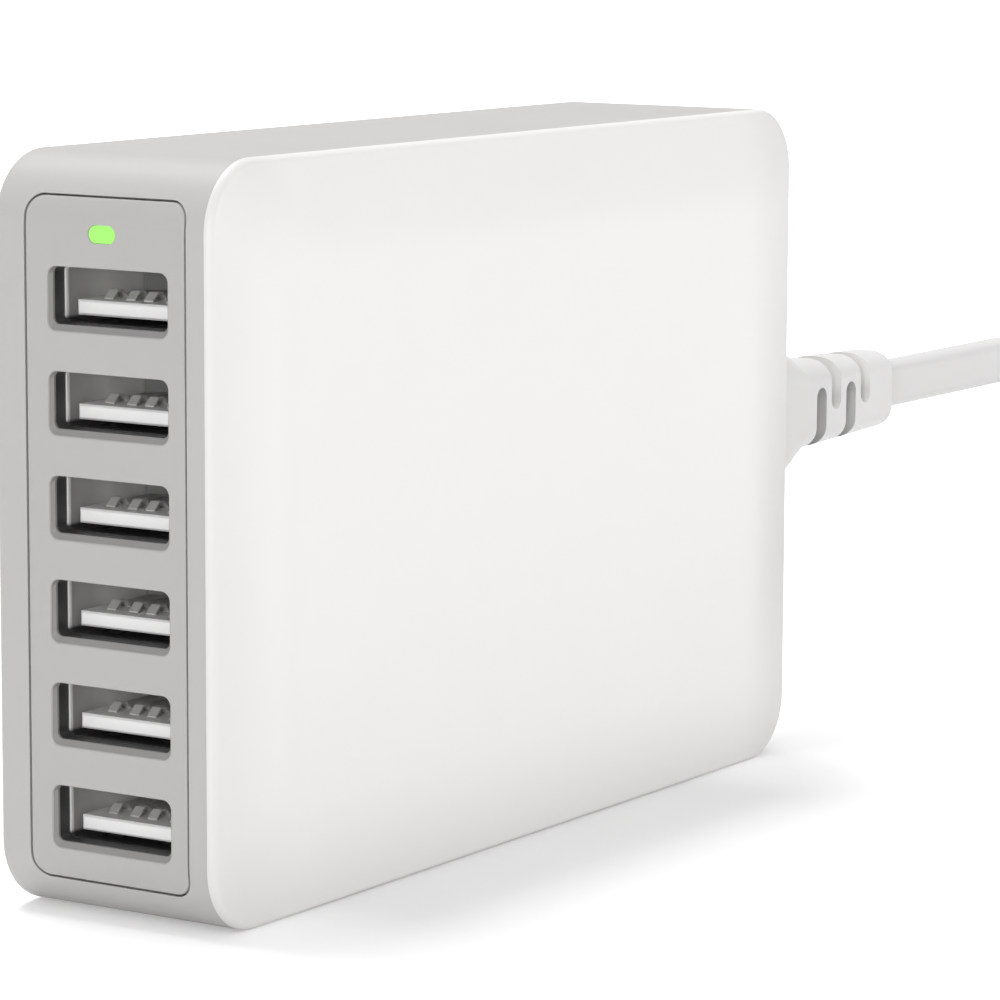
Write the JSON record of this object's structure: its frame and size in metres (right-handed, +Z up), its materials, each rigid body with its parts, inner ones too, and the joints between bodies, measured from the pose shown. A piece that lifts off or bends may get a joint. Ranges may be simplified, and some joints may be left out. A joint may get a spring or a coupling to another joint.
{
  "type": "multi port usb desktop charger",
  "caption": "Upright slab-shaped desktop charger: a grey body with a white side cover, a column of type A ports with a green light, and a flat white mains lead at the back.",
  "frame": {"origin": "middle of the case's underside", "axes": "+X out of the right-hand side cover, +Y along the case from the ports to the mains inlet, +Z up"},
  "size_m": [0.0569, 0.2895, 0.07],
  "materials": {
    "white_cover": "satin",
    "grey_band": "fine matt",
    "grey_panel": "fine matt",
    "green_light": "clear, lit",
    "shell_steel": "satin",
    "white_tongue": "moulded",
    "contact_metal": "plated",
    "green_board": "solder mask",
    "clear_film": "film",
    "yellow_film": "moulded box",
    "copper_wire": "enamelled",
    "black_resin": "moulded",
    "fuse_glass": "clear tube, plated caps",
    "black_sleeve": "shrunk sleeve",
    "bare_aluminium": "milled",
    "ferrite": "sintered",
    "yellow_tape": "taped",
    "blue_resin": "dipped",
    "white_resin": "moulded",
    "plated_metal": "nickel plated",
    "white_moulding": "soft moulded",
    "white_sheath": "soft sheath",
    "white_tie": "strap"
  },
  "bodies": {
    "root": {"centre_band": "grey_band", "side_cover_right": "white_cover", "side_cover_left": "grey_band", "port_panel": "grey_panel", "port_frame": "black_resin", "led_lens": "green_light", "port_board": "green_board", "main_board": "green_board", "insulating_sheet": "clear_film", "film_capacitor": "yellow_film", "input_choke": "copper_wire", "bridge_rectifier": "black_resin", "fuse": "fuse_glass", "bulk_capacitors": "black_sleeve", "heat_sink": "bare_aluminium", "switch_transistor": "black_resin", "transformer_core": "ferrite", "transformer_winding": "yellow_tape", "y_capacitor": "blue_resin", "optocoupler": "white_resin", "output_capacitors": "black_sleeve", "link_header": "black_resin", "charge_chips": "black_resin", "status_led": "green_light", "inlet_housing": "black_resin", "inlet_pins": "plated_metal", "cord_connector": "white_moulding", "connector_sleeves": "plated_metal", "cord_run": "white_sheath", "cord_hank": "white_sheath", "cord_tail": "white_sheath", "cord_tie": "white_tie", "wall_plug": "white_moulding", "wall_plug_blades": "plated_metal", "usb_shell_1": "shell_steel", "usb_tongue_1": "white_tongue", "usb_contacts_1": "contact_metal", "usb_shell_2": "shell_steel", "usb_tongue_2": "white_tongue", "usb_contacts_2": "contact_metal", "usb_shell_3": "shell_steel", "usb_tongue_3": "white_tongue", "usb_contacts_3": "contact_metal", "usb_shell_4": "shell_steel", "usb_tongue_4": "white_tongue", "usb_contacts_4": "contact_metal", "usb_shell_5": "shell_steel", "usb_tongue_5": "white_tongue", "usb_contacts_5": "contact_metal", "usb_shell_6": "shell_steel", "usb_tongue_6": "white_tongue", "usb_contacts_6": "contact_metal"}
  },
  "joints": []
}
